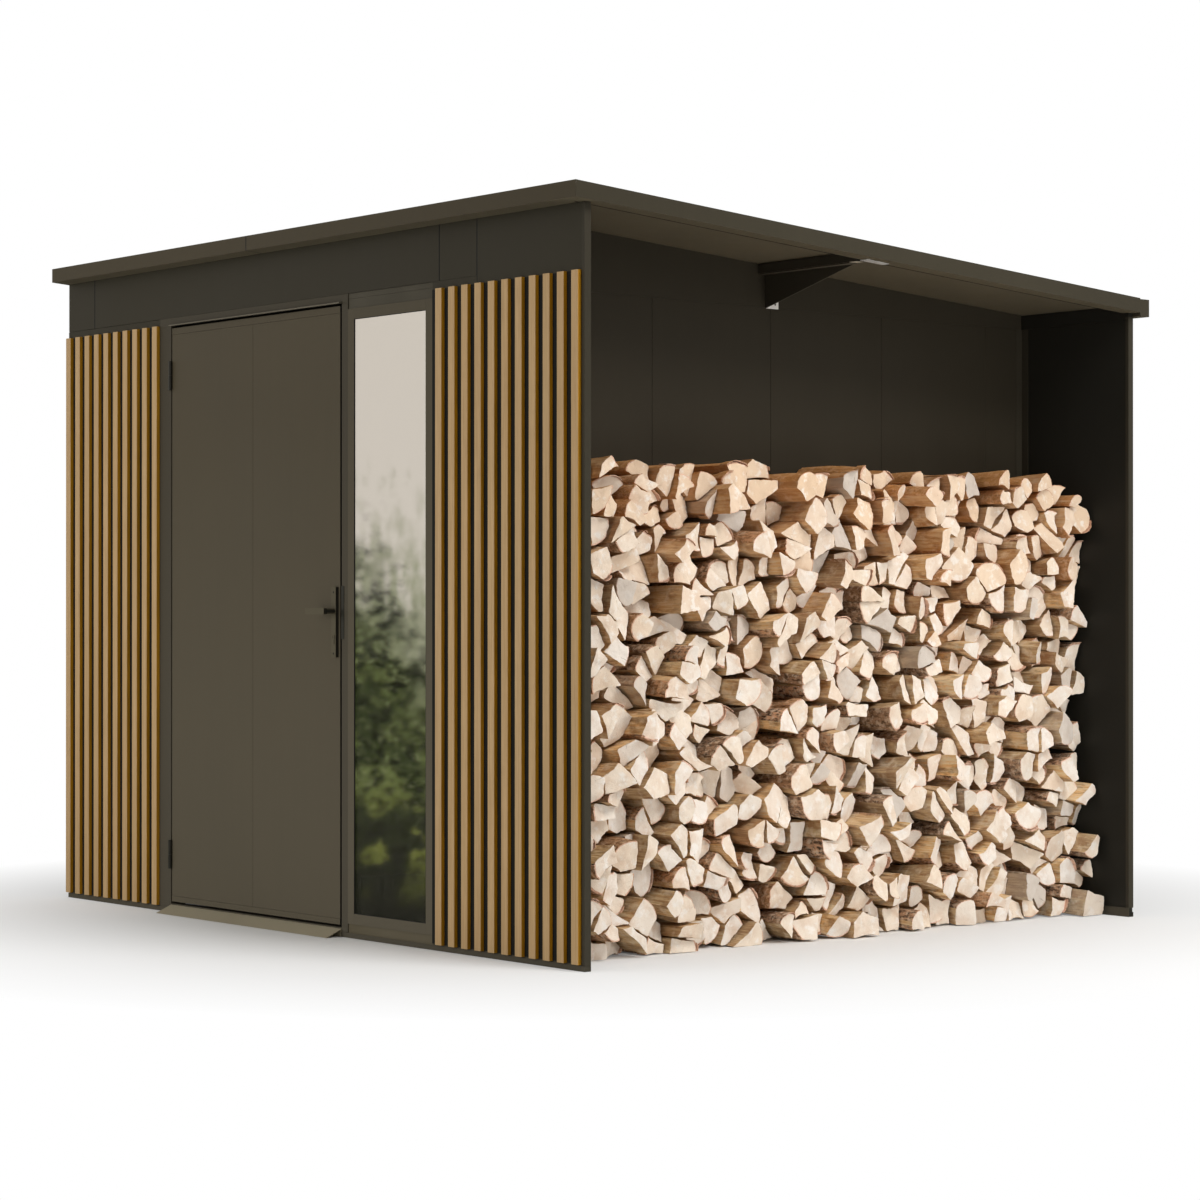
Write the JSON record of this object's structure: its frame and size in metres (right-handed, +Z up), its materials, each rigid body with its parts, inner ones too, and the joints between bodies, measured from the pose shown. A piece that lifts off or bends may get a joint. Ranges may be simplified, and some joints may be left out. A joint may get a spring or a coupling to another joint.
{
  "type": "garden shed with log store",
  "caption": "Mono-pitch metal garden shed with a hinged door, a tall narrow window, slatted front and an open roofed bay at one side stacked with split firewood.",
  "frame": {"origin": "on the ground, under the centre of the roof's outline", "axes": "+X along the front towards the open log bay, +Y from the front wall to the back wall, +Z up"},
  "size_m": [2.9484, 2.5034, 2.2526],
  "materials": {
    "panel_metal": "matt dark olive brown coating",
    "door_metal": "matt dark olive brown coating",
    "trim_metal": "matt dark olive brown coating",
    "roof_metal": "matt dark olive brown coating",
    "slat_timber": "timber-look foil on aluminium slats",
    "window_pane": "clear float glass",
    "dark_metal": "black satin coating",
    "zinc_metal": "zinc plated steel",
    "firewood": "split logs with bark, pale ends"
  },
  "bodies": {
    "shed": {"back_gutter": "roof_metal", "back_top_rail": "trim_metal", "back_wall": "panel_metal", "base_rails": "trim_metal", "bay_corner_angles": "trim_metal", "bay_gable": "panel_metal", "bay_wall": "panel_metal", "bracket_arm": "trim_metal", "bracket_foot": "zinc_metal", "bracket_gusset": "trim_metal", "bracket_tip": "zinc_metal", "door_drip_strip": "zinc_metal", "door_frame": "trim_metal", "door_ramp": "trim_metal", "door_sill": "trim_metal", "firewood_1": "firewood", "firewood_2": "firewood", "firewood_3": "firewood", "firewood_4": "firewood", "firewood_5": "firewood", "firewood_6": "firewood", "firewood_7": "firewood", "firewood_8": "firewood", "front_edge": "roof_metal", "front_frieze": "panel_metal", "front_wall_left": "panel_metal", "front_wall_right": "panel_metal", "front_wing": "panel_metal", "hinge_jamb_halves": "dark_metal", "left_edge": "roof_metal", "left_gable": "panel_metal", "left_slats": "slat_timber", "left_wall": "panel_metal", "right_edge": "roof_metal", "right_slats": "slat_timber", "roof_beam": "trim_metal", "roof_panels": "roof_metal", "roof_seam_caps": "roof_metal", "strike_plate": "dark_metal", "window_beads": "trim_metal", "window_frame": "trim_metal", "window_glass": "window_pane", "window_infill": "panel_metal", "wing_end_caps": "trim_metal"},
    "door": {"door_panels": "door_metal", "door_rails": "door_metal", "hinge_leaf_halves": "dark_metal", "handle_plates": "dark_metal", "lock_cylinder": "zinc_metal"},
    "levers": {"door_levers": "dark_metal", "lever_spindle": "zinc_metal"}
  },
  "joints": [
    {"name": "door_hinge", "type": "hinge", "parent": "shed", "child": "door", "pos_m": [-0.77005, -1.19605, 1.028], "axis": [0, 0, -1], "range_deg": [0, 110]},
    {"name": "lever_turn", "type": "hinge", "parent": "door", "child": "levers", "pos_m": [0.20735, -1.18975, 1.028], "axis": [0, -1, 0], "range_deg": [0, 40], "stiffness_Nm_per_rad": 2, "springref_deg": -20.05}
  ]
}
